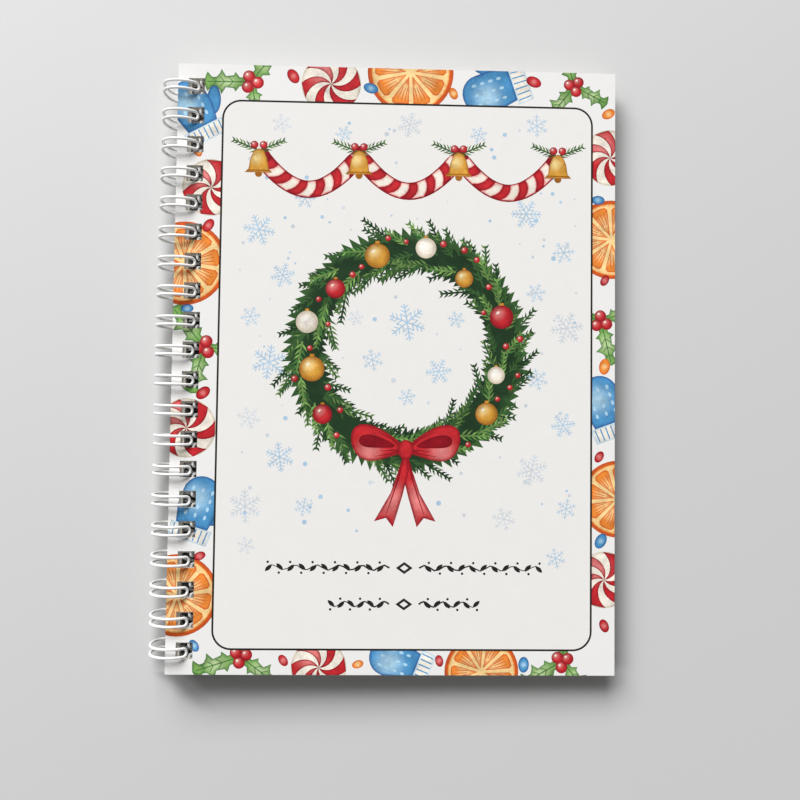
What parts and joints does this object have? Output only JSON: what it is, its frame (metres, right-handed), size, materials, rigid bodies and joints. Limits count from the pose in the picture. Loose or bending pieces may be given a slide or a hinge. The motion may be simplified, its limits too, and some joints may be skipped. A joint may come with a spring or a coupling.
{
  "type": "gift card book",
  "caption": "Wire-bound gift card book: printed card covers and pocket leaves that turn on a white twin-loop wire, each pocket taking a plastic gift card.",
  "frame": {"origin": "Centre of the footprint, on the table that the book lies on", "axes": "+X from the spine to the fore-edge, +Y up the page along the spine, +Z out of the front cover"},
  "size_m": [0.1331, 0.1746, 0.0135],
  "materials": {
    "cover_card": "printed, satin laminate",
    "leaf_card": "uncoated, matte",
    "pocket_card": "printed, matte",
    "pocket_strip": "uncoated, matte",
    "binding_wire": "white nylon coat, satin"
  },
  "bodies": {
    "back_cover": {"back_cover": "cover_card"},
    "leaf_5": {"leaf_5": "leaf_card", "pocket_5_a_panel": "pocket_card", "pocket_5_a_left_strip": "pocket_strip", "pocket_5_a_right_strip": "pocket_strip", "pocket_5_a_bottom_strip": "pocket_strip", "pocket_5_b_panel": "pocket_card", "pocket_5_b_left_strip": "pocket_strip", "pocket_5_b_right_strip": "pocket_strip", "pocket_5_b_bottom_strip": "pocket_strip"},
    "leaf_4": {"leaf_4": "leaf_card", "pocket_4_a_panel": "pocket_card", "pocket_4_a_left_strip": "pocket_strip", "pocket_4_a_right_strip": "pocket_strip", "pocket_4_a_bottom_strip": "pocket_strip", "pocket_4_b_panel": "pocket_card", "pocket_4_b_left_strip": "pocket_strip", "pocket_4_b_right_strip": "pocket_strip", "pocket_4_b_bottom_strip": "pocket_strip"},
    "leaf_3": {"leaf_3": "leaf_card", "pocket_3_a_panel": "pocket_card", "pocket_3_a_left_strip": "pocket_strip", "pocket_3_a_right_strip": "pocket_strip", "pocket_3_a_bottom_strip": "pocket_strip", "pocket_3_b_panel": "pocket_card", "pocket_3_b_left_strip": "pocket_strip", "pocket_3_b_right_strip": "pocket_strip", "pocket_3_b_bottom_strip": "pocket_strip"},
    "leaf_2": {"leaf_2": "leaf_card", "pocket_2_a_panel": "pocket_card", "pocket_2_a_left_strip": "pocket_strip", "pocket_2_a_right_strip": "pocket_strip", "pocket_2_a_bottom_strip": "pocket_strip", "pocket_2_b_panel": "pocket_card", "pocket_2_b_left_strip": "pocket_strip", "pocket_2_b_right_strip": "pocket_strip", "pocket_2_b_bottom_strip": "pocket_strip"},
    "leaf_1": {"leaf_1": "leaf_card", "pocket_1_a_panel": "pocket_card", "pocket_1_a_left_strip": "pocket_strip", "pocket_1_a_right_strip": "pocket_strip", "pocket_1_a_bottom_strip": "pocket_strip", "pocket_1_b_panel": "pocket_card", "pocket_1_b_left_strip": "pocket_strip", "pocket_1_b_right_strip": "pocket_strip", "pocket_1_b_bottom_strip": "pocket_strip", "binding_wire": "binding_wire"},
    "front_cover": {"front_cover": "cover_card"}
  },
  "joints": [
    {"name": "leaf_5_turn", "type": "hinge", "parent": "back_cover", "child": "leaf_5", "pos_m": [-0.06063, 0.0003, 0.00681], "axis": [0, -1, 0], "range_deg": [0, 180]},
    {"name": "leaf_4_turn", "type": "hinge", "parent": "leaf_5", "child": "leaf_4", "pos_m": [-0.06063, 0.0003, 0.00681], "axis": [0, -1, 0], "range_deg": [0, 180]},
    {"name": "leaf_3_turn", "type": "hinge", "parent": "leaf_4", "child": "leaf_3", "pos_m": [-0.06063, 0.0003, 0.00681], "axis": [0, -1, 0], "range_deg": [0, 180]},
    {"name": "leaf_2_turn", "type": "hinge", "parent": "leaf_3", "child": "leaf_2", "pos_m": [-0.06063, 0.0003, 0.00681], "axis": [0, -1, 0], "range_deg": [0, 180]},
    {"name": "leaf_1_turn", "type": "hinge", "parent": "leaf_2", "child": "leaf_1", "pos_m": [-0.06063, 0.0003, 0.00681], "axis": [0, -1, 0], "range_deg": [0, 180]},
    {"name": "front_cover_turn", "type": "hinge", "parent": "leaf_1", "child": "front_cover", "pos_m": [-0.06063, 0.0003, 0.00681], "axis": [0, -1, 0], "range_deg": [0, 180]}
  ]
}
